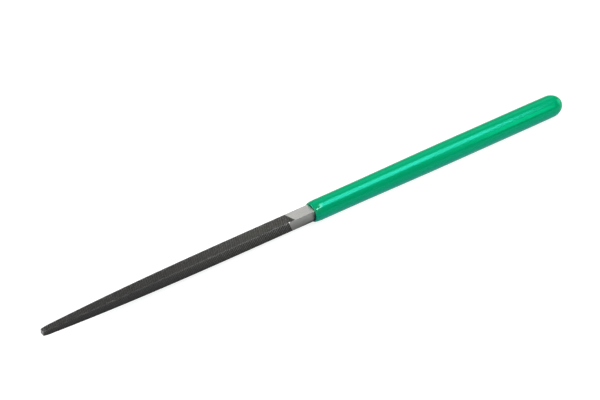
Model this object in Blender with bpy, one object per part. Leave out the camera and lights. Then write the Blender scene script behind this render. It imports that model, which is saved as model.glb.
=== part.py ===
# Square needle file with a plastic sleeve on its round tang.
# Frame: X runs along the file from its tip (-X) to the end of the sleeve (+X), +Z is up, and the
# blade's flats are square to Y and Z. The origin is on the axis, at the mouth of the sleeve.

import math

import bmesh
import bpy
from mathutils import Matrix, Vector

MM = 0.001

# Blank: the square bar that the blade and the shank are made from
BLADE_LENGTH = 70.0 * MM  # from the mouth of the sleeve to the tip
BLADE_SIDE = 2.87 * MM  # across the flats of the shank
TIP_SIDE = 1.38 * MM  # across the flats at the tip, but for the nose
PARALLEL_LENGTH = 12.0 * MM  # from the mouth to where the belly begins
BELLY_POWER = 2.8  # how late the bellied taper draws in
BELLY_STEPS = 14
NOSE_LENGTH = 1.6 * MM  # last stretch, where the flats round off towards the tip
NOSE_DROP = 0.1 * MM  # what the nose takes off each flat at the tip
NOSE_STEPS = 2
CORNER_BREAK = 0.06 * MM  # width of the broken corners, measured on a flat

# Teeth: two sets of slanting cuts that leave rows of small leaning diamonds
BARE_LENGTH = 6.0 * MM  # uncut shank in front of the mouth, on the middle line of a flat
TOOTH_DEPTH = 0.12 * MM
UPCUT_PITCH = 0.62 * MM  # along the axis
OVERCUT_PITCH = 0.74 * MM  # along the axis
UPCUT_ANGLE = math.radians(70.0)  # to the axis
OVERCUT_ANGLE = math.radians(130.0)  # to the axis, so it leans the other way
RUN_OUT = 0.16 * MM  # slope from the bare flat down into the first cut
TOOTH_LEAN_SHARE = 0.35  # how far a tooth's point leans towards its front corner
CUT_WELD = 0.03 * MM  # cuts that meet closer than this share a point

# Tang: the round end of the blank, inside the sleeve
TANG_DIAMETER = 2.7 * MM
SEAT_STEP = 0.04 * MM  # how much each flat is ground back where the shank goes into the mouth
SHOULDER_DEPTH = 1.0 * MM  # how far the square shank goes into the mouth
TANG_POINT_LENGTH = 1.2 * MM
TANG_POINT_SHARE = 0.5  # width of the point's end, to the tang's own
TANG_SIDES = 24

# Sleeve
SLEEVE_LENGTH = 70.0 * MM
MOUTH_GAP = 0.1 * MM  # between the shank's corners and the mouth
RECESS_DEPTH = 0.2 * MM  # round recess in the mouth, in front of the square pocket
POCKET_GAP = 0.12 * MM  # between the shank's flats and the square pocket that it sits in
POCKET_BREAK = 0.14 * MM  # width of the pocket's broken corners
TANG_GAP = 0.3 * MM  # round the tang, past its end and behind the shoulder
LIP_WALL = 0.39 * MM  # plastic round the mouth
LIP_ROUND = 0.27 * MM  # how far the lip rounds inwards
LIP_RUN = 0.8 * MM  # how far the lip's round runs along the sleeve
LIP_INNER_BREAK = 0.06 * MM
SWELL = 0.17 * MM  # how much the wall thickens behind the mouth
SWELL_START = 7.0 * MM
SWELL_LENGTH = 30.0 * MM
END_DRAW = 0.03 * MM  # how much the body draws in before the dome
END_DRAW_LENGTH = 6.0 * MM
DOME_LENGTH = 3.3 * MM
END_WALL = 6.0 * MM  # solid plastic past the bore
BORE_POINT_LENGTH = 0.9 * MM  # cone at the bottom of the bore
SLEEVE_SIDES = 36
LIP_STEPS = 4
SWELL_STEPS = 10
DOME_STEPS = 9

SHARP_ANGLE = math.radians(20.0)
FLAT_NUMBERS = (4, 1, 2, 3)  # order of cutting of the flats that face +Y, +Z, -Y and -Z
RUN_OUT_MARK = 1
TOOTH_MARK = 2

STEEL_COLOUR = (0.085, 0.083, 0.08, 1.0)
SLEEVE_COLOUR = (0.0, 0.41, 0.19, 1.0)

# Sizes that follow from those above
SEAT_SIDE = BLADE_SIDE - 2 * SEAT_STEP
NOSE_X = NOSE_LENGTH - BLADE_LENGTH
SHANK_RADIUS = math.hypot(BLADE_SIDE / 2, BLADE_SIDE / 2 - CORNER_BREAK)
HOLE_RADIUS = SHANK_RADIUS + MOUTH_GAP
MOUTH_RADIUS = HOLE_RADIUS + LIP_WALL
BODY_RADIUS = MOUTH_RADIUS + SWELL
BORE_RADIUS = TANG_DIAMETER / 2 + TANG_GAP
BORE_DEPTH = SLEEVE_LENGTH - END_WALL
TANG_END = BORE_DEPTH - TANG_GAP


def clear_scene():
    for thing in list(bpy.data.objects):
        bpy.data.objects.remove(thing, do_unlink=True)


def plain_material(name, colour, roughness, metallic):
    material = bpy.data.materials.new(name)
    material.use_nodes = True
    shader = material.node_tree.nodes["Principled BSDF"]
    shader.inputs["Base Color"].default_value = colour
    shader.inputs["Roughness"].default_value = roughness
    shader.inputs["Metallic"].default_value = metallic
    return material


def add_object(name, mesh_data, material):
    mesh = bpy.data.meshes.new(name)
    mesh_data.to_mesh(mesh)
    mesh_data.free()
    mesh.materials.append(material)
    mesh.shade_smooth()
    mesh.set_sharp_from_angle(angle=SHARP_ANGLE)
    thing = bpy.data.objects.new(name, mesh)
    bpy.context.scene.collection.objects.link(thing)
    return thing


def add_guide(name, mesh_data):
    """A hidden shape that only takes part in a Boolean."""
    mesh = bpy.data.meshes.new(name)
    mesh_data.to_mesh(mesh)
    mesh_data.free()
    mesh.shade_smooth()
    mesh.set_sharp_from_angle(angle=SHARP_ANGLE)
    guide = bpy.data.objects.new(name, mesh)
    bpy.context.scene.collection.objects.link(guide)
    guide.hide_render = True
    guide.display_type = "WIRE"
    return guide


def add_boolean(thing, operation, guide):
    boolean = thing.modifiers.new(guide.name, "BOOLEAN")
    boolean.operation = operation
    boolean.solver = "EXACT"
    boolean.object = guide


# Blank

def blank_side(x):
    """Across the flats at x: parallel, then a belly that draws in, and the rounded nose."""
    belly = max(0.0, (-x - PARALLEL_LENGTH) / (BLADE_LENGTH - PARALLEL_LENGTH))
    nose = max(0.0, (NOSE_X - x) / NOSE_LENGTH)
    return BLADE_SIDE - (BLADE_SIDE - TIP_SIDE) * belly ** BELLY_POWER - 2 * NOSE_DROP * nose ** 2


def blank_stations():
    """Sections along the axis, from the tip to the shoulder in the mouth, as (x, side)."""
    places = [-BLADE_LENGTH + NOSE_LENGTH * step / NOSE_STEPS for step in range(NOSE_STEPS)]
    for step in range(BELLY_STEPS + 1):
        places.append(NOSE_X + (-PARALLEL_LENGTH - NOSE_X) * step / BELLY_STEPS)
    places.append(0.0)
    return [(x, blank_side(x)) for x in places] + [(0.0, SEAT_SIDE), (SHOULDER_DEPTH, SEAT_SIDE)]


def square_ring(mesh, x, side, corner_break):
    """Eight points round the axis: a square with broken corners."""
    half = side / 2
    corner = half - corner_break
    ring = []
    for turn in range(4):
        quarter = Matrix.Rotation(turn * math.pi / 2, 3, "X")
        for z in (-corner, corner):
            ring.append(mesh.verts.new(quarter @ Vector((x, half, z))))
    return ring


def join_rings(mesh, ring, following):
    """Faces between two rings of points, in the order of the points."""
    faces = []
    for i in range(len(ring)):
        k = (i + 1) % len(ring)
        faces.append(mesh.faces.new((ring[i], ring[k], following[k], following[i])))
    return faces


def make_blank():
    mesh = bmesh.new()
    flat = mesh.faces.layers.int.new("flat")
    rings = [square_ring(mesh, x, side, CORNER_BREAK) for x, side in blank_stations()]
    for ring, following in zip(rings, rings[1:]):
        for i, face in enumerate(join_rings(mesh, ring, following)):
            face[flat] = 0 if i % 2 else FLAT_NUMBERS[i // 2]
    mesh.faces.new(rings[0])
    mesh.faces.new(rings[-1])
    bmesh.ops.recalc_face_normals(mesh, faces=mesh.faces)
    section = mesh.edges.layers.int.new("section")
    for edge in mesh.edges:
        edge[section] = int(edge.verts[0].co.x == edge.verts[1].co.x)
    mesh.faces.layers.int.new("cut")
    return mesh


# Teeth

def cut_normal(angle):
    """Points towards the tip, square to a cut made across the upper flat."""
    return Vector((-math.sin(angle), -math.cos(angle), 0.0))


def split(mesh, faces, x, angle):
    """Splits the faces along one cut, which crosses the middle line at x."""
    reach = BLADE_SIDE / 2 / abs(math.tan(angle)) + CUT_WELD
    crossed = []
    for face in faces:
        places = [vert.co.x for vert in face.verts]
        if min(places) < x + reach and max(places) > x - reach:
            crossed.append(face)
    if not crossed:
        return faces
    geometry = set(crossed)
    for face in crossed:
        geometry.update(face.edges)
        geometry.update(face.verts)
    cut = bmesh.ops.bisect_plane(
        mesh, geom=list(geometry), dist=CUT_WELD / 10,
        plane_co=Vector((x, 0.0, 0.0)), plane_no=cut_normal(angle))
    pieces = {item for item in cut["geom"] if isinstance(item, bmesh.types.BMFace)}
    return list((set(faces) - set(crossed)) | pieces)


def beyond(faces, x, angle):
    """The faces on the tip's side of a cut."""
    point = Vector((x, 0.0, 0.0))
    normal = cut_normal(angle)
    return [face for face in faces if (face.calc_center_median() - point).dot(normal) > 0.0]


def cut_rows(mesh, faces, start, pitch, angle):
    """One set of parallel cuts, from the shank to the tip."""
    reach = BLADE_SIDE / 2 / abs(math.tan(angle))
    count = int((start + reach + BLADE_LENGTH + reach) / pitch) + 1
    for number in range(count):
        faces = split(mesh, faces, start + reach - number * pitch, angle)
    return faces


def join_sections(mesh, faces):
    """Takes the blank's section lines out of the cut flat, so that teeth run on across them."""
    section = mesh.edges.layers.int["section"]
    worked = set(faces)
    lines = []
    for edge in {edge for face in faces for edge in face.edges}:
        if edge[section] and all(face in worked for face in edge.link_faces):
            lines.append(edge)
    bmesh.ops.dissolve_edges(mesh, edges=lines, use_verts=True)


def sink_cuts(mesh, cut):
    """Lets the crossings of the cuts down, and leaves the rim of the flat as it is."""
    for vert in {vert for face in mesh.faces if face[cut] for vert in face.verts}:
        if all(face[cut] for face in vert.link_faces):
            vert.co.z -= TOOTH_DEPTH


def raise_teeth(mesh, faces):
    """Gives each diamond its point, which leans towards the tip of the file."""
    for point in bmesh.ops.poke(mesh, faces=faces)["verts"]:
        front = min((edge.other_vert(point).co for edge in point.link_edges), key=lambda co: co.x)
        point.co = point.co.lerp(front, TOOTH_LEAN_SHARE)
        point.co.z = blank_side(point.co.x) / 2


def cut_upper_flat(mesh, number):
    """Cuts the teeth of the numbered flat, which faces +Z by now."""
    cut = mesh.faces.layers.int["cut"]
    flat = mesh.faces.layers.int["flat"]
    ready = split(mesh, [f for f in mesh.faces if f[flat] == number], -BARE_LENGTH, UPCUT_ANGLE)
    ready = beyond(ready, -BARE_LENGTH, UPCUT_ANGLE)
    first_cut = -BARE_LENGTH - RUN_OUT
    ready = split(mesh, ready, first_cut, UPCUT_ANGLE)
    teeth = beyond(ready, first_cut, UPCUT_ANGLE)
    for face in ready:
        face[cut] = RUN_OUT_MARK
    for face in teeth:
        face[cut] = TOOTH_MARK
    teeth = cut_rows(mesh, teeth, first_cut - UPCUT_PITCH, UPCUT_PITCH, UPCUT_ANGLE)
    teeth = cut_rows(mesh, teeth, first_cut, OVERCUT_PITCH, OVERCUT_ANGLE)
    join_sections(mesh, teeth)
    corners = {vert for face in mesh.faces if face[cut] for vert in face.verts}
    bmesh.ops.remove_doubles(mesh, verts=list(corners), dist=CUT_WELD)
    sink_cuts(mesh, cut)
    raise_teeth(mesh, [face for face in mesh.faces if face[cut] == TOOTH_MARK])
    for face in mesh.faces:
        face[cut] = 0


def make_file_blade(material):
    mesh = make_blank()
    for number in sorted(FLAT_NUMBERS):
        cut_upper_flat(mesh, number)
        bmesh.ops.rotate(mesh, verts=mesh.verts, matrix=Matrix.Rotation(-math.pi / 2, 3, "X"))
    ragged = [face for face in mesh.faces if len(face.verts) > 4]
    bmesh.ops.triangulate(mesh, faces=ragged)
    blade = add_object("file_blade", mesh, material)
    add_boolean(blade, "UNION", make_tang_guide())
    return blade


def make_tang_guide():
    """Round tang with a short point, started inside the shank that it is joined to."""
    radius = TANG_DIAMETER / 2
    ends = [
        (SHOULDER_DEPTH / 2, radius),
        (TANG_END - TANG_POINT_LENGTH, radius),
        (TANG_END, radius * TANG_POINT_SHARE),
    ]
    mesh = bmesh.new()
    turned_solid(mesh, [(ends[0][0], 0.0)] + ends + [(ends[-1][0], 0.0)], TANG_SIDES)
    return add_guide("tang_guide", mesh)


# Turned shapes

def turned_solid(mesh, profile, sides):
    """Spins a profile of (x, radius) points round the axis; it starts and ends on the axis."""
    points = [mesh.verts.new((x, 0.0, radius)) for x, radius in profile]
    edges = [mesh.edges.new(pair) for pair in zip(points, points[1:])]
    bmesh.ops.spin(
        mesh, geom=points + edges, cent=(0.0, 0.0, 0.0), axis=(1.0, 0.0, 0.0), dvec=(0.0, 0.0, 0.0),
        angle=2 * math.pi, steps=sides, use_merge=True)
    bmesh.ops.remove_doubles(mesh, verts=mesh.verts, dist=CUT_WELD / 10)
    bmesh.ops.recalc_face_normals(mesh, faces=mesh.faces)


def lip_points():
    """Outer half of the rounded lip, from the mouth backwards."""
    points = []
    for step in range(LIP_STEPS + 1):
        turn = math.pi / 2 * step / LIP_STEPS
        points.append((
            LIP_RUN * (1 - math.cos(turn)),
            MOUTH_RADIUS - LIP_ROUND * (1 - math.sin(turn)),
        ))
    return points


def swell_points():
    """The wall thickens on an easy curve behind the mouth."""
    points = []
    for step in range(SWELL_STEPS + 1):
        share = step / SWELL_STEPS
        ease = (1 - math.cos(math.pi * share)) / 2
        points.append((SWELL_START + SWELL_LENGTH * share, MOUTH_RADIUS + SWELL * ease))
    return points


def dome_points():
    """Closed end: a little longer than half a ball."""
    start = SLEEVE_LENGTH - DOME_LENGTH
    radius = BODY_RADIUS - END_DRAW
    points = [(start - END_DRAW_LENGTH, BODY_RADIUS)]
    for step in range(DOME_STEPS + 1):
        turn = math.pi / 2 * step / DOME_STEPS
        points.append((start + DOME_LENGTH * math.sin(turn), radius * math.cos(turn)))
    points[-1] = (SLEEVE_LENGTH, 0.0)
    return points


def recess_points():
    """Shallow round recess in the mouth."""
    return [
        (RECESS_DEPTH, 0.0),
        (RECESS_DEPTH, HOLE_RADIUS),
        (LIP_INNER_BREAK, HOLE_RADIUS),
        (0.0, HOLE_RADIUS + LIP_INNER_BREAK),
    ]


def make_bore_guide():
    """Bore that holds the tang, started inside the square pocket."""
    start = SHOULDER_DEPTH + TANG_GAP / 2
    end = BORE_DEPTH + BORE_POINT_LENGTH
    mesh = bmesh.new()
    profile = [(start, 0.0), (start, BORE_RADIUS), (BORE_DEPTH, BORE_RADIUS), (end, 0.0)]
    turned_solid(mesh, profile, SLEEVE_SIDES)
    return add_guide("bore_guide", mesh)


def make_pocket_guide():
    """Square pocket that holds the end of the shank, started inside the recess."""
    mesh = bmesh.new()
    side = SEAT_SIDE + 2 * POCKET_GAP
    near = square_ring(mesh, RECESS_DEPTH / 2, side, POCKET_BREAK)
    far = square_ring(mesh, SHOULDER_DEPTH + TANG_GAP, side, POCKET_BREAK)
    join_rings(mesh, near, far)
    mesh.faces.new(near)
    mesh.faces.new(far)
    bmesh.ops.recalc_face_normals(mesh, faces=mesh.faces)
    return add_guide("pocket_guide", mesh)


def make_handle_sleeve(material):
    mesh = bmesh.new()
    profile = recess_points() + lip_points() + swell_points() + dome_points()
    turned_solid(mesh, profile, SLEEVE_SIDES)
    sleeve = add_object("handle_sleeve", mesh, material)
    add_boolean(sleeve, "DIFFERENCE", make_pocket_guide())
    add_boolean(sleeve, "DIFFERENCE", make_bore_guide())
    return sleeve


clear_scene()
make_file_blade(plain_material("dark_steel", STEEL_COLOUR, 0.45, 0.85))
make_handle_sleeve(plain_material("green_plastic", SLEEVE_COLOUR, 0.22, 0.0))
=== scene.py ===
# Square needle file with a green plastic sleeve: its looks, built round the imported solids.
# Settings are in millimetres and degrees unless a note says otherwise. X runs from the tip to the domed end.

import math
import random

import bmesh
import bpy
from mathutils import Matrix, Vector


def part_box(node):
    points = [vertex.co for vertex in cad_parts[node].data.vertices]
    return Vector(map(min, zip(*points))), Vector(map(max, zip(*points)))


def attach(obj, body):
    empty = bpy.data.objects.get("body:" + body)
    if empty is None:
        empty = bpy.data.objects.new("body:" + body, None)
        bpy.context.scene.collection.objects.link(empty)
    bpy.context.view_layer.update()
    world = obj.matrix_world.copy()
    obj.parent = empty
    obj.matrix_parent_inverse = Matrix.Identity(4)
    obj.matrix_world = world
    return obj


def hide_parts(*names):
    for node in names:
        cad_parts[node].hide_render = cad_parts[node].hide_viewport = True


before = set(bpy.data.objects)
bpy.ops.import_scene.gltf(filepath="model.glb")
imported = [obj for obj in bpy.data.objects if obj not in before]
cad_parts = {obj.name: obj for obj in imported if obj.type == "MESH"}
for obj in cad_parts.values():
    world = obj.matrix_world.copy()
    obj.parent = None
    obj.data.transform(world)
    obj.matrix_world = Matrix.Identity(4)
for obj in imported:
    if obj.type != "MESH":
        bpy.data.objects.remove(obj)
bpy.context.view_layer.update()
mm = 0.001
bladeLow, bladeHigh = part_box("file_blade")
sleeveLow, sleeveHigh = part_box("handle_sleeve")
print("frame loaded")


# Camera

cameraSettings = {
    "azimuth": -34.43,
    "elevation": 40.22,
    "distance": 800,
    "slide": -2.44,  # to the camera's own right, which frames the file as the photo does
    "rise": 2.83,
    "lens": 215.5,
    "sensor": 36,
    "clipStart": 10,
    "clipEnd": 20000,
}


def placeCamera(settings):
    turn = math.radians(settings["azimuth"])
    lift = math.radians(settings["elevation"])
    back = Vector((math.sin(turn) * math.cos(lift), -math.cos(turn) * math.cos(lift), math.sin(lift)))
    right = Vector((0, 0, 1)).cross(back).normalized()
    up = back.cross(right)
    place = right * settings["slide"] + up * settings["rise"] + back * settings["distance"]
    lens = bpy.data.cameras.new("photoCamera")
    lens.lens = settings["lens"]
    lens.sensor_width = settings["sensor"]
    lens.clip_start = settings["clipStart"] * mm
    lens.clip_end = settings["clipEnd"] * mm
    camera = bpy.data.objects.new("photoCamera", lens)
    bpy.context.scene.collection.objects.link(camera)
    camera.matrix_world = Matrix.Translation(place * mm) @ Matrix((right, up, back)).transposed().to_4x4()
    bpy.context.scene.camera = camera
    bpy.context.scene.view_settings.view_transform = "Standard"


placeCamera(cameraSettings)
print("camera placed")


# Studio: soft boxes, a grey world and a pale floor

lampSettings = {
    # direction is from the target to the lamp, and radiance is what the lamp shows in a mirror
    "overheadSoftbox": {
        "direction": (0.44, -0.215, 0.872), "distance": 1000, "length": 155, "width": 600, "radiance": 13.8},
    "backSoftbox": {
        "direction": (0.43, 0.63, 0.646), "distance": 1200, "length": 700, "width": 450, "radiance": 1.0},
    "tipSoftbox": {
        "direction": (-0.6, 0.45, 0.66), "distance": 1000, "length": 600, "width": 500, "radiance": 7.8},
    "frontSoftbox": {
        "direction": (-0.6, -0.78, 0.17), "distance": 1200, "length": 1500, "width": 400, "radiance": 1.7,
        "colour": (0.88, 1.0, 1.12)},
    "endSoftbox": {
        "direction": (0.64, -0.618, 0.456), "distance": 176, "length": 30, "width": 85, "radiance": 4.4,
        "colour": (0.1, 1.0, 0.5)},
    "domeSoftbox": {
        "direction": (0.99, -0.05, 0.12), "distance": 400, "length": 200, "width": 200, "radiance": 4.0,
        "colour": (0.3, 1.0, 0.7)},
    "lipSoftbox": {
        "direction": (0.225, -0.565, 0.79), "distance": 160, "length": 58, "width": 20, "radiance": 12.0,
        "target": (0, 0, 0), "turn": 18},
}
studioSettings = {
    "lampTarget": (20, 0, 0),  # for the lamps that have no target of their own
    "worldLight": 0.1,  # strengths, as shares of white
    "worldShown": 0.3,
    "floorColour": 0.36,
    "floorShown": 0.86,
    "floorSize": 3000,
}


def addLamp(name, settings):
    toLamp = Vector(settings["direction"]).normalized()
    across = toLamp.cross(Vector((1, 0, 0))).normalized()
    along = across.cross(toLamp)
    turn = Matrix.Rotation(math.radians(settings.get("turn", 0)), 3, toLamp)
    data = bpy.data.lights.new(name, "AREA")
    data.shape = "RECTANGLE"
    data.size = settings["length"] * mm
    data.size_y = settings["width"] * mm
    data.energy = settings["radiance"] * math.pi * data.size * data.size_y
    data.color = settings.get("colour", (1, 1, 1))
    lamp = bpy.data.objects.new(name, data)
    bpy.context.scene.collection.objects.link(lamp)
    place = Vector(settings.get("target", studioSettings["lampTarget"])) + toLamp * settings["distance"]
    facing = turn @ Matrix((along, across, toLamp)).transposed()
    lamp.matrix_world = Matrix.Translation(place * mm) @ facing.to_4x4()


def seenRays(nodes, links):
    # 1 for what the camera, a reflection or a view through glass sees, and 0 for light
    path = nodes.new("ShaderNodeLightPath")
    seen = path.outputs["Is Camera Ray"]
    for kind in ("Is Glossy Ray", "Is Transmission Ray"):
        either = nodes.new("ShaderNodeMath")
        either.operation = "MAXIMUM"
        links.new(seen, either.inputs[0])
        links.new(path.outputs[kind], either.inputs[1])
        seen = either.outputs["Value"]
    return seen


def makeWorld(settings):
    world = bpy.data.worlds.new("studioWorld")
    world.use_nodes = True
    nodes, links = world.node_tree.nodes, world.node_tree.links
    background = nodes["Background"]
    background.inputs["Color"].default_value = (1, 1, 1, 1)
    strength = nodes.new("ShaderNodeMix")
    strength.inputs["A"].default_value = settings["worldLight"]
    strength.inputs["B"].default_value = settings["worldShown"]
    links.new(seenRays(nodes, links), strength.inputs["Factor"])
    links.new(strength.outputs["Result"], background.inputs["Strength"])
    bpy.context.scene.world = world


def makeFloor(settings):
    # pale and matt, with a glow that only shows, and open from below
    mesh = bmesh.new()
    bmesh.ops.create_grid(mesh, x_segments=1, y_segments=1, size=settings["floorSize"] / 2 * mm)
    bmesh.ops.translate(mesh, verts=mesh.verts, vec=(0, 0, sleeveLow.z))
    data = bpy.data.meshes.new("floor")
    mesh.to_mesh(data)
    mesh.free()
    floor = bpy.data.objects.new("floor", data)
    bpy.context.scene.collection.objects.link(floor)
    material = bpy.data.materials.new("paleFloor")
    material.use_nodes = True
    nodes, links = material.node_tree.nodes, material.node_tree.links
    nodes.remove(nodes["Principled BSDF"])
    matt = nodes.new("ShaderNodeBsdfDiffuse")
    matt.inputs["Color"].default_value = (settings["floorColour"],) * 3 + (1,)
    glow = nodes.new("ShaderNodeEmission")
    share = nodes.new("ShaderNodeMath")
    share.operation = "MULTIPLY"
    share.inputs[1].default_value = settings["floorShown"]
    links.new(seenRays(nodes, links), share.inputs[0])
    links.new(share.outputs["Value"], glow.inputs["Strength"])
    both = nodes.new("ShaderNodeAddShader")
    links.new(matt.outputs["BSDF"], both.inputs[0])
    links.new(glow.outputs["Emission"], both.inputs[1])
    clear = nodes.new("ShaderNodeBsdfTransparent")
    geometry = nodes.new("ShaderNodeNewGeometry")
    sides = nodes.new("ShaderNodeMixShader")
    links.new(geometry.outputs["Backfacing"], sides.inputs["Fac"])
    links.new(both.outputs["Shader"], sides.inputs[1])
    links.new(clear.outputs["BSDF"], sides.inputs[2])
    links.new(sides.outputs["Shader"], nodes["Material Output"].inputs["Surface"])
    data.materials.append(material)


for lampName, lampValues in lampSettings.items():
    addLamp(lampName, lampValues)
makeWorld(studioSettings)
makeFloor(studioSettings)
print("studio lit")


# Shader groups that the steel and the plastic share

groupSettings = {
    # where the crests of a noise start for an amount of 0, over how much they fade in, and how far
    # down an amount of 1 takes their start
    "scratchCrests": (0.75, 0.08, 0.3),
    "dustCrests": (0.78, 0.1, 0.3),
    "fineRatio": 7.0,  # of the scale of fine mottle to that of broad mottle
}


def newGroup(name, inputs, outputs):
    group = bpy.data.node_groups.new(name, "ShaderNodeTree")
    for label, kind, value in inputs:
        socket = group.interface.new_socket(label, in_out="INPUT", socket_type=kind)
        if value is not None:
            socket.default_value = value
    for label, kind in outputs:
        group.interface.new_socket(label, in_out="OUTPUT", socket_type=kind)
    return group, group.nodes.new("NodeGroupInput").outputs, group.nodes.new("NodeGroupOutput").inputs


def addNoise(nodes, links, vector, scale, detail, roughness=0.55):
    noise = nodes.new("ShaderNodeTexNoise")
    noise.inputs["Detail"].default_value = detail
    noise.inputs["Roughness"].default_value = roughness
    links.new(vector, noise.inputs["Vector"])
    links.new(scale, noise.inputs["Scale"])
    return noise.outputs["Fac"]


def addRamp(nodes, links, value, low, high):
    # 0 below low, 1 above high, with a soft slope between
    ramp = nodes.new("ShaderNodeMapRange")
    ramp.interpolation_type = "SMOOTHSTEP"
    links.new(value, ramp.inputs["Value"])
    for label, limit in (("From Min", low), ("From Max", high)):
        if isinstance(limit, (int, float)):
            ramp.inputs[label].default_value = limit
        else:
            links.new(limit, ramp.inputs[label])
    return ramp.outputs["Result"]


def addMath(nodes, links, operation, first, second=None):
    step = nodes.new("ShaderNodeMath")
    step.operation = operation
    for place, value in enumerate((first, second)):
        if value is None:
            continue
        if isinstance(value, (int, float)):
            step.inputs[place].default_value = value
        else:
            links.new(value, step.inputs[place])
    return step.outputs["Value"]


def keepCrests(nodes, links, noise, amount, start, fade, reach):
    low = addMath(nodes, links, "SUBTRACT", start, addMath(nodes, links, "MULTIPLY", amount, reach))
    return addRamp(nodes, links, noise, low, addMath(nodes, links, "ADD", low, fade))


def makeScratchGroup(settings):
    # thin lines along or across the file: noise pulled out long, cut to its narrow crests
    group, given, made = newGroup(
        "fineScratches",
        [("Vector", "NodeSocketVector", None), ("Per Metre", "NodeSocketFloat", 4000.0),
         ("Stretch", "NodeSocketVector", (0.02, 1.0, 1.0)), ("Amount", "NodeSocketFloat", 0.3)],
        [("Mask", "NodeSocketFloat"), ("Height", "NodeSocketFloat")])
    nodes, links = group.nodes, group.links
    stretched = nodes.new("ShaderNodeVectorMath")
    stretched.operation = "MULTIPLY"
    links.new(given["Vector"], stretched.inputs[0])
    links.new(given["Stretch"], stretched.inputs[1])
    lines = addNoise(nodes, links, stretched.outputs["Vector"], given["Per Metre"], detail=4.0, roughness=0.6)
    mask = keepCrests(nodes, links, lines, given["Amount"], *settings["scratchCrests"])
    links.new(mask, made["Mask"])
    links.new(lines, made["Height"])
    return group


def makeMottleGroup(settings):
    # broad and fine noise in one, about 0.5 on average
    group, given, made = newGroup(
        "softMottle",
        [("Vector", "NodeSocketVector", None), ("Per Metre", "NodeSocketFloat", 200.0),
         ("Fine Share", "NodeSocketFloat", 0.35)],
        [("Value", "NodeSocketFloat")])
    nodes, links = group.nodes, group.links
    broad = addNoise(nodes, links, given["Vector"], given["Per Metre"], detail=2.0)
    finer = addMath(nodes, links, "MULTIPLY", given["Per Metre"], settings["fineRatio"])
    fine = addNoise(nodes, links, given["Vector"], finer, detail=3.0)
    blend = nodes.new("ShaderNodeMix")
    links.new(given["Fine Share"], blend.inputs["Factor"])
    links.new(broad, blend.inputs["A"])
    links.new(fine, blend.inputs["B"])
    links.new(blend.outputs["Result"], made["Value"])
    return group


def makeDustGroup(settings):
    # small specks
    group, given, made = newGroup(
        "settledDust",
        [("Vector", "NodeSocketVector", None), ("Per Metre", "NodeSocketFloat", 2500.0),
         ("Amount", "NodeSocketFloat", 0.2)],
        [("Mask", "NodeSocketFloat")])
    nodes, links = group.nodes, group.links
    specks = addNoise(nodes, links, given["Vector"], given["Per Metre"], detail=2.0)
    links.new(keepCrests(nodes, links, specks, given["Amount"], *settings["dustCrests"]), made["Mask"])
    return group


sharedGroups = {
    "scratches": makeScratchGroup(groupSettings),
    "mottle": makeMottleGroup(groupSettings),
    "dust": makeDustGroup(groupSettings),
}


class Finish:
    # a material under construction: its nodes, its shader and short ways to add to it

    def __init__(self, name):
        self.material = bpy.data.materials.new(name)
        self.material.use_nodes = True
        self.nodes = self.material.node_tree.nodes
        self.links = self.material.node_tree.links
        self.shader = self.nodes["Principled BSDF"]
        self.place = self.nodes.new("ShaderNodeTexCoord").outputs["Object"]
        split = self.nodes.new("ShaderNodeSeparateXYZ")
        self.links.new(self.place, split.inputs["Vector"])
        self.axes = split.outputs

    def set(self, **values):
        for label, value in values.items():
            self.shader.inputs[label.replace("_", " ")].default_value = value

    def group(self, name, **values):
        node = self.nodes.new("ShaderNodeGroup")
        node.node_tree = sharedGroups[name]
        self.links.new(self.place, node.inputs["Vector"])
        for label, value in values.items():
            node.inputs[label.replace("_", " ")].default_value = value
        return node.outputs

    def attribute(self, name):
        node = self.nodes.new("ShaderNodeAttribute")
        node.attribute_name = name
        return node.outputs["Fac"]

    def colour(self, share, first, second):
        node = self.nodes.new("ShaderNodeMix")
        node.data_type = "RGBA"
        self.links.new(share, node.inputs[0])
        for socket, value in ((node.inputs[6], first), (node.inputs[7], second)):
            if isinstance(value, tuple):
                socket.default_value = value + (1,)
            else:
                self.links.new(value, socket)
        return node.outputs[2]

    def cover(self, below, mask, colour, share=1.0):
        # a layer of colour over what is below it, as far as its mask and its share go
        return self.colour(self.math("MULTIPLY", mask, share), below, colour)

    def value(self, share, first, second):
        node = self.nodes.new("ShaderNodeMix")
        self.links.new(share, node.inputs[0])
        for socket, value in ((node.inputs[2], first), (node.inputs[3], second)):
            if isinstance(value, bpy.types.NodeSocket):
                self.links.new(value, socket)
            else:
                socket.default_value = value
        return node.outputs[0]

    def math(self, operation, first, second=None):
        return addMath(self.nodes, self.links, operation, first, second)

    def ramp(self, value, low, high):
        return addRamp(self.nodes, self.links, value, low, high)

    def span(self, axis, start, end):
        # rises from 0 at the start to 1 at the end, both in millimetres along an axis
        return self.ramp(self.axes[axis], start * mm, end * mm)

    def patch(self, *spans):
        # where two spans meet, each given as its axis and its pair of places
        return self.math("MULTIPLY", *(self.span(axis, *places) for axis, places in spans))

    def bump(self, height, depth, before=None):
        # depth in millimetres for a height of 1
        node = self.nodes.new("ShaderNodeBump")
        node.inputs["Distance"].default_value = depth * mm
        self.links.new(height, node.inputs["Height"])
        if before is not None:
            self.links.new(before, node.inputs["Normal"])
        return node.outputs["Normal"]

    def feed(self, label, value):
        self.links.new(value, self.shader.inputs[label])


def finishPiece(mesh, name, material, node, settings):
    data = bpy.data.meshes.new(name)
    mesh.to_mesh(data)
    mesh.free()
    data.materials.append(material)
    data.shade_smooth()
    data.set_sharp_from_angle(angle=math.radians(settings["sharpAngle"]))
    piece = bpy.data.objects.new(name, data)
    bpy.context.scene.collection.objects.link(piece)
    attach(piece, "root")
    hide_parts(node)
    return piece


# Blade: one bar of steel with its four toothed flats, bare shank and tang

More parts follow.
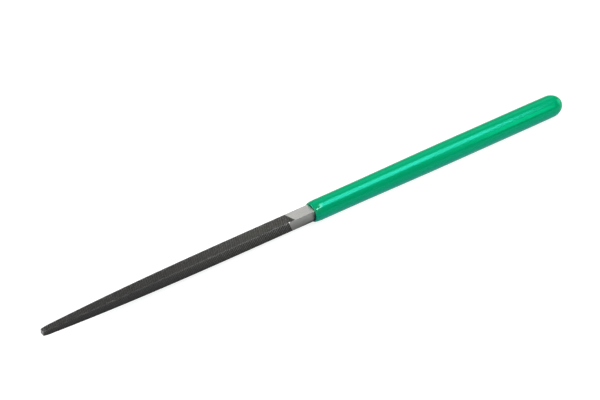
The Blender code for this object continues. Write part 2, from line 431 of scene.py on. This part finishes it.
bladeSettings = {
    "side": 2.87,  # across the flats of the shank
    "tipSide": 1.38,
    "parallel": 12,  # from the mouth of the sleeve to where the belly begins
    "bellyPower": 2.8,
    "bellySteps": 28,
    "noseLength": 1.6,
    "noseDrop": 0.1,
    "noseSteps": 4,
    "cornerBreak": 0.03,
    "seatStep": 0.015,  # how much each flat is ground back where the shank goes into the mouth
    "shoulderDepth": 1.0,
    "bareLengths": {"+Y": 6.0, "+Z": 5.7, "-Y": 6.45, "-Z": 6.1},  # from the mouth to each first cut
    "upcutPitch": 0.42,  # the coarser pitch of the solids is a stand-in for this one
    "overcutPitch": 0.49,
    "upcutAngle": 70,  # to the axis
    "overcutAngle": 130,
    "pitchJitter": 0.012,
    "toothDepth": 0.1,
    "depthJitter": 0.02,
    "runOut": 0.14,
    "toothLean": 0.35,  # share of the way from a tooth's middle to its front corner
    "cutWeld": 0.03,
    "cutSlack": 0.003,  # a cut this near to a point goes through it
    "nickDepth": 0.03,  # where the cuts come out at the corners
    "nickRange": (0.5, 1.3),  # of that depth
    "flatTilt": 20,  # a face turned less than this from a flat belongs to it
    "pointCrest": (0.8, 1.0),  # crest is 1 where the teeth wear bright and 0 where grime gathers
    "rimCrest": 0.95,
    "nickCrest": 0.35,
    "bareCrest": 0.6,
    "tangDiameter": 2.7,
    "tangCuts": 3,  # of each side of the shoulder, on the way from square to round
    "tangPointLength": 1.2,
    "tangPointShare": 0.5,
    "endFaceToothed": 0.2,  # 0 would make the end of the tip look like bare steel, and 1 like toothed
    "sharpAngle": 25,
    "seed": 11,
}
flatOrder = {"+Y": 4, "+Z": 1, "-Y": 2, "-Z": 3}  # as the flats come up to be cut
runOutMark, toothMark = 1, 2
chance = random.Random(bladeSettings["seed"])


def bladeSide(x, settings):
    length = -bladeLow.x / mm
    belly = max(0.0, (-x - settings["parallel"]) / (length - settings["parallel"]))
    nose = max(0.0, (settings["noseLength"] - length - x) / settings["noseLength"])
    side = settings["side"] - (settings["side"] - settings["tipSide"]) * belly ** settings["bellyPower"]
    return side - 2 * settings["noseDrop"] * nose ** 2


def bladeStations(settings):
    # sections as (x, side), from the shoulder inside the mouth to the tip
    length = -bladeLow.x / mm
    noseStart = settings["noseLength"] - length
    start = -settings["parallel"]
    places = [0]
    for step in range(settings["bellySteps"] + 1):
        places.append(start + (noseStart - start) * step / settings["bellySteps"])
    for step in range(1, settings["noseSteps"] + 1):
        places.append(noseStart - settings["noseLength"] * step / settings["noseSteps"])
    seatSide = settings["side"] - 2 * settings["seatStep"]
    seat = [(settings["shoulderDepth"], seatSide), (0, seatSide)]
    return seat + [(x, bladeSide(x, settings)) for x in places]


def drawOut(mesh, end, run, share, keepEnd=False):
    # extrudes an end face along the file and scales it, and returns the new end
    drawn = bmesh.ops.extrude_face_region(mesh, geom=end)["geom"]
    if not keepEnd:
        bmesh.ops.delete(mesh, geom=end, context="FACES_ONLY")
    moved = [item for item in drawn if isinstance(item, bmesh.types.BMVert)]
    bmesh.ops.scale(mesh, verts=moved, vec=(1, share, share))
    bmesh.ops.translate(mesh, verts=moved, vec=(run * mm, 0, 0))
    return [item for item in drawn if isinstance(item, bmesh.types.BMFace)]


def drawBlank(settings):
    # a square with broken corners, drawn out from the shoulder to the tip
    stations = bladeStations(settings)
    here, side = stations[0]
    mesh = bmesh.new()
    bmesh.ops.create_circle(mesh, cap_ends=True, segments=4, radius=side * mm / math.sqrt(2))
    upright = Matrix.Rotation(math.radians(90), 3, "Y") @ Matrix.Rotation(math.radians(45), 3, "Z")
    place = Matrix.Translation((here * mm, 0, 0)) @ upright.to_4x4()
    bmesh.ops.transform(mesh, verts=mesh.verts, matrix=place)
    bmesh.ops.bevel(
        mesh, geom=mesh.verts[:], offset=settings["cornerBreak"] * mm, affect="VERTICES", segments=1,
        profile=0.5, material=-1)
    end = mesh.faces[:]
    for number, (x, nextSide) in enumerate(stations[1:]):
        end = drawOut(mesh, end, x - here, nextSide / side, keepEnd=number == 0)
        here, side = x, nextSide
    bmesh.ops.recalc_face_normals(mesh, faces=mesh.faces)
    return mesh


def markBlank(mesh, settings):
    # names the flats, and the section lines that the teeth run across
    flat = mesh.faces.layers.int.new("flat")
    mesh.faces.layers.int.new("cut")
    section = mesh.edges.layers.int.new("section")
    facing = {
        "+Y": Vector((0, 1, 0)), "-Y": Vector((0, -1, 0)), "+Z": Vector((0, 0, 1)), "-Z": Vector((0, 0, -1))}
    for face in mesh.faces:
        for label, direction in facing.items():
            if face.normal.dot(direction) > math.cos(math.radians(settings["flatTilt"])):
                face[flat] = flatOrder[label]
    for edge in mesh.edges:
        edge[section] = int(abs(edge.verts[0].co.x - edge.verts[1].co.x) < settings["cutSlack"] * mm)


def cutNormal(angle):
    # towards the tip, square to a cut across the upper flat
    return Vector((-math.sin(angle), -math.cos(angle), 0.0))


def splitFaces(mesh, faces, x, angle, settings):
    # one cut, which crosses the middle line at x
    reach = settings["side"] / 2 / abs(math.tan(angle)) + settings["cutWeld"]
    crossed = []
    for face in faces:
        places = [vert.co.x for vert in face.verts]
        if min(places) < (x + reach) * mm and max(places) > (x - reach) * mm:
            crossed.append(face)
    if not crossed:
        return faces
    geometry = dict.fromkeys(crossed)
    for face in crossed:
        geometry.update(dict.fromkeys(face.edges))
        geometry.update(dict.fromkeys(face.verts))
    cut = bmesh.ops.bisect_plane(
        mesh, geom=list(geometry), dist=settings["cutSlack"] * mm,
        plane_co=Vector((x * mm, 0, 0)), plane_no=cutNormal(angle))
    pieces = [item for item in cut["geom"] if isinstance(item, bmesh.types.BMFace)]
    whole = [face for face in faces if face not in geometry]
    return list(dict.fromkeys(whole + pieces))


def facesBeyond(faces, x, angle):
    normal = cutNormal(angle)
    return [face for face in faces if (face.calc_center_median() - Vector((x * mm, 0, 0))).dot(normal) > 0]


def cutRows(mesh, faces, start, pitch, angle, settings):
    reach = settings["side"] / 2 / abs(math.tan(angle))
    count = int((start + reach - bladeLow.x / mm + reach) / pitch) + 1
    for number in range(count):
        jitter = chance.uniform(-1, 1) * settings["pitchJitter"]
        faces = splitFaces(mesh, faces, start + reach - number * pitch + jitter, angle, settings)
    return faces


def joinSections(mesh, faces):
    section = mesh.edges.layers.int["section"]
    worked = set(faces)
    lines = []
    for edge in dict.fromkeys(edge for face in faces for edge in face.edges):
        if edge[section] and all(face in worked for face in edge.link_faces):
            lines.append(edge)
    bmesh.ops.dissolve_edges(mesh, edges=lines, use_verts=True)


def inPlaceOrder(verts):
    # the operators leave the order of a mesh to chance, so what is drawn at random goes by place
    return sorted(verts, key=lambda vert: vert.co.to_tuple(6))


def cutUpperFlat(mesh, number, bareLength, settings):
    cut = mesh.faces.layers.int["cut"]
    flat = mesh.faces.layers.int["flat"]
    toothed = mesh.faces.layers.float["toothed"]
    upAngle, overAngle = math.radians(settings["upcutAngle"]), math.radians(settings["overcutAngle"])
    ready = splitFaces(mesh, [f for f in mesh.faces if f[flat] == number], -bareLength, upAngle, settings)
    for face in ready:
        face[toothed] = 0
    ready = facesBeyond(ready, -bareLength, upAngle)
    firstCut = -bareLength - settings["runOut"]
    ready = splitFaces(mesh, ready, firstCut, upAngle, settings)
    teeth = facesBeyond(ready, firstCut, upAngle)
    for face in ready:
        face[cut] = runOutMark
        face[toothed] = 1
    for face in teeth:
        face[cut] = toothMark
    teeth = cutRows(mesh, teeth, firstCut - settings["upcutPitch"], settings["upcutPitch"], upAngle, settings)
    teeth = cutRows(mesh, teeth, firstCut, settings["overcutPitch"], overAngle, settings)
    joinSections(mesh, teeth)
    corners = inPlaceOrder(vert for vert in mesh.verts if any(face[cut] for face in vert.link_faces))
    bmesh.ops.remove_doubles(mesh, verts=corners, dist=settings["cutWeld"] * mm)
    nickRim(mesh, cut, settings)
    sinkCuts(mesh, cut, settings)
    raiseTeeth(mesh, [face for face in mesh.faces if face[cut] == toothMark], settings)
    for face in mesh.faces:
        face[cut] = 0


def nickRim(mesh, cut, settings):
    # the cuts come out at the corners as small nicks, with a full crest between them
    rim = [edge for edge in mesh.edges if sorted(face[cut] for face in edge.link_faces) == [0, toothMark]]
    bmesh.ops.bisect_edges(mesh, edges=rim, cuts=1)
    crest = mesh.verts.layers.float["crest"]
    for vert in inPlaceOrder(mesh.verts):
        marks = {face[cut] for face in vert.link_faces}
        if marks != {0, toothMark}:
            continue
        vert[crest] = settings["rimCrest"]
        if any(all(face[cut] for face in edge.link_faces) for edge in vert.link_edges):
            vert.co.z -= settings["nickDepth"] * mm * chance.uniform(*settings["nickRange"])
            vert[crest] = settings["nickCrest"]


def sinkCuts(mesh, cut, settings):
    crest = mesh.verts.layers.float["crest"]
    for vert in inPlaceOrder(mesh.verts):
        if all(face[cut] for face in vert.link_faces):
            vert.co.z -= (settings["toothDepth"] + chance.uniform(-1, 1) * settings["depthJitter"]) * mm
            vert[crest] = 0.0


def raiseTeeth(mesh, faces, settings):
    toothed = mesh.faces.layers.float["toothed"]
    crest = mesh.verts.layers.float["crest"]
    for face in faces:
        face[toothed] = 1
    for point in inPlaceOrder(bmesh.ops.poke(mesh, faces=faces)["verts"]):
        front = min((edge.other_vert(point).co for edge in point.link_edges), key=lambda co: co.x)
        point.co = point.co.lerp(front, settings["toothLean"])
        height = bladeSide(point.co.x / mm, settings) / 2
        point.co.z = (height - chance.uniform(0, 1) * settings["depthJitter"]) * mm
        point[crest] = chance.uniform(*settings["pointCrest"])


def addTang(mesh, settings):
    # the shoulder steps in to the round tang, which ends in a short point
    shoulder = max(mesh.faces, key=lambda face: face.calc_center_median().x)
    margin = (settings["side"] - settings["tangDiameter"]) / 2 - settings["seatStep"]
    bmesh.ops.inset_individual(mesh, faces=[shoulder], thickness=margin * mm, use_even_offset=True)
    bmesh.ops.subdivide_edges(mesh, edges=shoulder.edges[:], cuts=settings["tangCuts"])
    for vert in shoulder.verts:
        spoke = Vector((0, vert.co.y, vert.co.z)).normalized() * settings["tangDiameter"] / 2 * mm
        vert.co = Vector((vert.co.x, spoke.y, spoke.z))
    length = bladeHigh.x / mm - settings["shoulderDepth"] - settings["tangPointLength"]
    end = drawOut(mesh, [shoulder], length, 1)
    drawOut(mesh, end, settings["tangPointLength"], settings["tangPointShare"])


def makeBlade(material, settings):
    mesh = drawBlank(settings)
    markBlank(mesh, settings)
    toothed = mesh.faces.layers.float.new("toothed")
    for face in mesh.faces:
        face[toothed] = float(face.calc_center_median().x < -max(settings["bareLengths"].values()) * mm)
        if face.normal.x < -math.cos(math.radians(settings["flatTilt"])):
            face[toothed] = settings["endFaceToothed"]
    # how far a face turns from facing up: the mask for painted shade on the steep flats
    side = mesh.faces.layers.float.new("side")
    for face in mesh.faces:
        face[side] = 1 - max(0.0, face.normal.z)
    crest = mesh.verts.layers.float.new("crest")
    for vert in mesh.verts:
        vert[crest] = settings["bareCrest"]
    for label in sorted(flatOrder, key=flatOrder.get):
        cutUpperFlat(mesh, flatOrder[label], settings["bareLengths"][label], settings)
        bmesh.ops.rotate(mesh, verts=mesh.verts, matrix=Matrix.Rotation(-math.pi / 2, 3, "X"))
    addTang(mesh, settings)
    bmesh.ops.triangulate(mesh, faces=[face for face in mesh.faces if len(face.verts) > 4])
    print("blade closed:", all(len(edge.link_faces) == 2 for edge in mesh.edges), len(mesh.faces), "faces")
    return finishPiece(mesh, "toothed_blade", material, "file_blade", settings)


steelSettings = {
    # a layer is its colour and the share of it that covers what is below
    "bareColours": ((0.37, 0.366, 0.355), (0.51, 0.505, 0.49)),
    "groundLines": ((0.66, 0.65, 0.635), 0.3),
    "crossScratches": ((0.24, 0.236, 0.23), 0.2),
    # painted shade: the steep flats darker than the top one
    "steepFlatShade": ((0.03, 0.034, 0.033), 0.55),
    # painted shade: the steel darker lower down, from 1.6 mm above the axis to 1.2 mm below
    "paintedLowLighting": ((0.04, 0.042, 0.041), 0.55),
    "lowSpan": (1.6, -1.2),
    "mouthLightColour": (0.64, 0.64, 0.62),  # painted light: a lighter band of shank in front of and just inside the mouth, which is also rougher
    "mouthLightStart": (-0.8, -0.3),
    "mouthLightEnd": (0.08, -0.06),
    "mouthLightRoughness": 0.6,
    "mouthShadow": ((0.02, 0.021, 0.02), 0.9),  # painted shadow under the shank, where it goes into the mouth
    "mouthShadowAlong": (-5, -0.5),
    "mouthShadowDown": (-0.5, -1.4),
    "forwardColours": ((0.042, 0.04, 0.04), (0.062, 0.06, 0.059)),  # of the teeth towards the tip
    "heelColours": ((0.077, 0.074, 0.069), (0.108, 0.104, 0.098)),  # and towards the shank
    "heelSpan": (-45, -8),
    "rubbedCorners": ((0.17, 0.166, 0.16), 0.4),
    "tipEnd": ((0.2, 0.197, 0.19), 0.35),
    "tipEndSpan": (1.2, 0.2),  # from the end of the tip
    "cornerReach": (0.7, 1.0),  # where the rub comes and is full: 0 is a flat's middle line and 1 its corner
    "speckleReach": (0.4, 0.62),
    "wearAndGrazingLightShares": (0.2, 1.0),  # how clear the worn points and grime are: full on the steep flats by the shank, else faint; the extra clearness there is painted grazing light
    "grimeShares": (0.3, 1.0),  # of the grime, from no pattern to a clear one; the darker cuts of a clear pattern are painted shade
    "shadeShares": (0.1, 0.75),  # of the toothed shade on the steep flats, from high to low
    "wornPoints": (0.34, 0.333, 0.322),
    "wornCrest": (0.45, 0.85),
    "grime": (0.006, 0.006, 0.005),
    "grimeCrest": (0.5, 0.1),
    "toothedShade": (0.024, 0.023, 0.023),
    "bareRoughness": (0.26, 0.34),
    "toothRoughness": (0.5, 0.36),
    "lineDepth": 0.004,
    "waveDepth": 0.01,
}


def makeSteel(settings):
    steel = Finish("darkSteel")
    toothed, crest, side = (steel.attribute(name) for name in ("toothed", "crest", "side"))
    mottle = steel.group("mottle", Per_Metre=260.0, Fine_Share=0.4)["Value"]
    # rises towards the bottom: the mask for painted shade on the steel
    low = steel.span("Z", *settings["lowSpan"])
    grinding = steel.group("scratches", Per_Metre=9000.0, Stretch=(0.03, 1.0, 1.0), Amount=0.9)
    # a band in front of the mouth: painted light on the shank, and rougher steel
    mouthLightBand = steel.patch(("X", settings["mouthLightStart"]), ("X", settings["mouthLightEnd"]))
    bare = bareSteel(steel, settings, mottle, grinding["Mask"], mouthLightBand, side, low)
    worn = steel.ramp(crest, *settings["wornCrest"])
    teeth = toothedSteel(steel, settings, mottle, crest, worn, side, low)
    steel.feed("Base Color", steel.colour(toothed, bare, teeth))
    bareRough = steel.value(mottle, *settings["bareRoughness"])
    bareRough = steel.value(mouthLightBand, bareRough, settings["mouthLightRoughness"])
    toothRough = steel.value(worn, *settings["toothRoughness"])
    steel.feed("Roughness", steel.value(toothed, bareRough, toothRough))
    steel.set(Metallic=1.0)
    lines = steel.bump(grinding["Height"], settings["lineDepth"])
    steel.feed("Normal", steel.bump(mottle, settings["waveDepth"], lines))
    return steel.material


def bareSteel(steel, settings, mottle, groundLines, mouthLightBand, side, low):
    # ground bright, with fine lines along it, a lighter, rougher band of painted light where it meets the
    # sleeve, painted shade on the steep flats and lower down, and a painted shadow under it at the mouth
    scratches = steel.group("scratches", Per_Metre=2600.0, Stretch=(1.0, 0.12, 0.12), Amount=0.35)["Mask"]
    bare = steel.colour(mottle, *settings["bareColours"])
    bare = steel.cover(bare, groundLines, *settings["groundLines"])
    bare = steel.cover(bare, scratches, *settings["crossScratches"])
    bare = steel.cover(bare, mouthLightBand, settings["mouthLightColour"])
    # painted shade on the steep flats
    bare = steel.cover(bare, side, *settings["steepFlatShade"])
    # painted shade lower down
    bare = steel.cover(bare, low, *settings["paintedLowLighting"])
    # painted shadow under the shank at the mouth
    mouthShadow = steel.patch(("X", settings["mouthShadowAlong"]), ("Z", settings["mouthShadowDown"]))
    return steel.cover(bare, mouthShadow, *settings["mouthShadow"])


def toothedSteel(steel, settings, mottle, crest, worn, side, low):
    # dark, rubbed bright on the corners and the points, with grime in the cuts; points and grime are clearer
    # on the steep flats by the shank as painted grazing light and shade, and the steep flats carry painted
    # shade, deeper low down
    heel = steel.span("X", *settings["heelSpan"])
    pairs = zip(settings["forwardColours"], settings["heelColours"])
    teeth = steel.colour(mottle, *(steel.colour(heel, *pair) for pair in pairs))
    across = [steel.math("ABSOLUTE", steel.axes[axis]) for axis in ("Y", "Z")]
    corner = steel.math("DIVIDE", steel.math("MINIMUM", *across), steel.math("MAXIMUM", *across))
    speckle = steel.group("mottle", Per_Metre=1500.0, Fine_Share=0.5)["Value"]
    corner = steel.ramp(corner, *settings["cornerReach"])
    speckle = steel.ramp(speckle, *settings["speckleReach"])
    teeth = steel.cover(teeth, steel.math("MULTIPLY", corner, speckle), *settings["rubbedCorners"])
    tipEnd = steel.span("X", *(bladeLow.x / mm + place for place in settings["tipEndSpan"]))
    teeth = steel.cover(teeth, tipEnd, *settings["tipEnd"])
    # worn points lighter and grime darker on the steep flats by the shank: painted grazing light and shade
    # over real wear and grime
    wearAndGrazingLight = steel.value(steel.math("MULTIPLY", side, heel), *settings["wearAndGrazingLightShares"])
    teeth = steel.cover(teeth, worn, settings["wornPoints"], wearAndGrazingLight)
    grime = steel.ramp(crest, *settings["grimeCrest"])
    teeth = steel.cover(teeth, grime, settings["grime"], steel.value(wearAndGrazingLight, *settings["grimeShares"]))
    return steel.cover(teeth, side, settings["toothedShade"], steel.value(low, *settings["shadeShares"]))


darkSteel = makeSteel(steelSettings)
makeBlade(darkSteel, bladeSettings)
print("blade made")


# Sleeve: a round plastic handle, thin at its mouth, a little fuller behind, with a domed end

sleeveSettings = {
    "lipWall": 0.52,  # round the mouth
    "lipRound": 0.3,  # the lip draws in by this much over its run
    "lipRun": 2.0,
    "lipInnerBreak": 0.04,
    "swell": 0.17,
    "swellStart": 7,
    "swellLength": 30,
    "endDraw": 0.03,
    "endDrawLength": 6,
    "domeLength": 3.3,
    "endWall": 6,
    "recessDepth": 0.27,  # of the cone that leads in to the square pocket
    "recessSteps": 6,
    "pocketDepth": 1.3,
    "pocketGap": 0.05,
    "boreStep": 0.8,
    "borePoint": 0.9,
    "boreGap": 0.3,
    "poleWeld": 0.002,  # joins the points that the spin leaves on the axis
    "pocketSlack": 0.01,  # so that the ring at the bottom of the pocket counts as its own
    "sharpAngle": 30,
    "sides": 128,
    "lipSteps": 16,
    "swellSteps": 24,
    "domeSteps": 24,
}


def pocketHalf(settings):
    return bladeSettings["side"] / 2 - bladeSettings["seatStep"] + settings["pocketGap"]


def sleeveProfile(settings):
    # (x, radius) from the bottom of the bore, out at the mouth and over the outside to the end of the dome
    length = sleeveHigh.x / mm
    bodyRadius = sleeveHigh.z / mm
    mouthRadius = bodyRadius - settings["swell"]
    holeRadius = mouthRadius - settings["lipWall"]
    boreRadius = bladeSettings["tangDiameter"] / 2 + settings["boreGap"]
    boreEnd = length - settings["endWall"]
    half = pocketHalf(settings)
    points = [
        (boreEnd + settings["borePoint"], 0),
        (boreEnd, boreRadius),
        (settings["pocketDepth"] + settings["boreStep"], boreRadius),
        (settings["pocketDepth"], half),
    ]
    for step in range(settings["recessSteps"] + 1):
        share = step / settings["recessSteps"]
        points.append((
            settings["recessDepth"] * (1 - share) + settings["lipInnerBreak"] * share,
            half + (holeRadius - half) * share))
    points.append((0, holeRadius + settings["lipInnerBreak"]))
    for step in range(settings["lipSteps"] + 1):
        turn = math.pi / 2 * step / settings["lipSteps"]
        points.append((
            settings["lipRun"] * (1 - math.cos(turn)),
            mouthRadius - settings["lipRound"] * (1 - math.sin(turn))))
    for step in range(settings["swellSteps"] + 1):
        share = step / settings["swellSteps"]
        ease = (1 - math.cos(math.pi * share)) / 2
        points.append((
            settings["swellStart"] + settings["swellLength"] * share,
            mouthRadius + settings["swell"] * ease))
    domeStart = length - settings["domeLength"]
    points.append((domeStart - settings["endDrawLength"], bodyRadius))
    for step in range(settings["domeSteps"]):
        turn = math.pi / 2 * step / settings["domeSteps"]
        points.append((
            domeStart + settings["domeLength"] * math.sin(turn),
            (bodyRadius - settings["endDraw"]) * math.cos(turn)))
    return points + [(length, 0)]


def squarePocket(mesh, settings):
    # each ring in front of the bore is widened where the square for the shank lies outside it, so the
    # mouth is round with four notches and the pocket is square
    half = pocketHalf(settings) * mm
    for vert in mesh.verts:
        reach = max(abs(vert.co.y), abs(vert.co.z))
        if vert.co.x < (settings["pocketDepth"] + settings["pocketSlack"]) * mm and reach < half:
            vert.co = Vector((vert.co.x, vert.co.y * half / reach, vert.co.z * half / reach))


def makeSleeve(material, settings):
    mesh = bmesh.new()
    points = [mesh.verts.new((x * mm, 0, radius * mm)) for x, radius in sleeveProfile(settings)]
    edges = [mesh.edges.new(pair) for pair in zip(points, points[1:])]
    bmesh.ops.spin(
        mesh, geom=points + edges, cent=(0, 0, 0), axis=(1, 0, 0), dvec=(0, 0, 0), angle=2 * math.pi,
        steps=settings["sides"], use_merge=True)
    bmesh.ops.remove_doubles(mesh, verts=mesh.verts, dist=settings["poleWeld"] * mm)
    squarePocket(mesh, settings)
    bmesh.ops.recalc_face_normals(mesh, faces=mesh.faces)
    print("sleeve closed:", all(len(edge.link_faces) == 2 for edge in mesh.edges), len(mesh.faces), "faces")
    return finishPiece(mesh, "green_sleeve", material, "handle_sleeve", settings)


plasticSettings = {
    # a layer is its colour and the share of it that covers what is below
    "greens": ((0.0, 0.335, 0.139), (0.0, 0.375, 0.159)),
    # painted reflection: the lower part of the sleeve lighter and bluer, standing for the floor's light
    "paintedLowLighting": ((0.0, 0.43, 0.35), 0.7),
    "lowSpan": (0.7, -1.0),
    "scratches": ((0.15, 0.55, 0.38), 0.12),
    "dust": ((0.3, 0.5, 0.42), 0.2),
    "lipSpan": (2.4, 1.2),  # the lip and the far end are more polished than the grip between them
    "endSpan": (36, 52),
    "gripRoughness": (0.2, 0.25),
    "polishedRoughness": 0.13,
    "scratchRoughness": 0.5,
    "scratchDulling": 0.5,  # how much of that roughness a full scratch gets
    "specularLevel": 0.05,
    "specularTint": (0.7, 11.3, 9.8, 1.0),  # the shine is more cyan than white
    "highlightCoatWeight": 0.5,  # a clear coat on the side of the lip that faces the front and up, laid there as a painted highlight
    "coatRoughness": 0.12,
    "highlightCoatForward": (-0.3, -1.0),
    "highlightCoatUp": (0.9, 1.5),
    "grainDepth": 0.012,
    "polishedGrainShare": 0.45,
    "waveDepth": 0.06,
    "scratchDepth": 0.001,
}


def makePlastic(settings):
    plastic = Finish("greenPlastic")
    mottle = plastic.group("mottle", Per_Metre=90.0, Fine_Share=0.25)["Value"]
    scratches = plastic.group("scratches", Per_Metre=3000.0, Stretch=(0.06, 1.0, 1.0), Amount=0.25)["Mask"]
    dust = plastic.group("dust", Per_Metre=2400.0, Amount=0.1)["Mask"]
    colour = plastic.colour(mottle, *settings["greens"])
    # painted reflection of the floor: lighter and bluer lower down
    colour = plastic.cover(colour, plastic.span("Z", *settings["lowSpan"]), *settings["paintedLowLighting"])
    colour = plastic.cover(colour, scratches, *settings["scratches"])
    plastic.feed("Base Color", plastic.cover(colour, dust, *settings["dust"]))
    lip = plastic.span("X", *settings["lipSpan"])
    polish = plastic.math("MAXIMUM", lip, plastic.span("X", *settings["endSpan"]))
    rough = plastic.value(mottle, *settings["gripRoughness"])
    rough = plastic.value(polish, rough, settings["polishedRoughness"])
    dulled = plastic.math("MULTIPLY", scratches, settings["scratchDulling"])
    plastic.feed("Roughness", plastic.value(dulled, rough, settings["scratchRoughness"]))
    plastic.set(Specular_IOR_Level=settings["specularLevel"], Specular_Tint=settings["specularTint"])
    # the lip's front and upper side: where the coat lays a painted highlight
    facing = plastic.patch(("Y", settings["highlightCoatForward"]), ("Z", settings["highlightCoatUp"]))
    highlightCoat = plastic.math("MULTIPLY", lip, facing)
    plastic.feed("Coat Weight", plastic.math("MULTIPLY", highlightCoat, settings["highlightCoatWeight"]))
    plastic.set(Coat_Roughness=settings["coatRoughness"])
    grain = plastic.group("mottle", Per_Metre=1600.0, Fine_Share=0.3)["Value"]
    grain = plastic.math("MULTIPLY", grain, plastic.value(polish, 1.0, settings["polishedGrainShare"]))
    waves = plastic.bump(grain, settings["grainDepth"], plastic.bump(mottle, settings["waveDepth"]))
    plastic.feed("Normal", plastic.bump(scratches, settings["scratchDepth"], waves))
    return plastic.material


greenPlastic = makePlastic(plasticSettings)
makeSleeve(greenPlastic, sleeveSettings)
print("sleeve made")
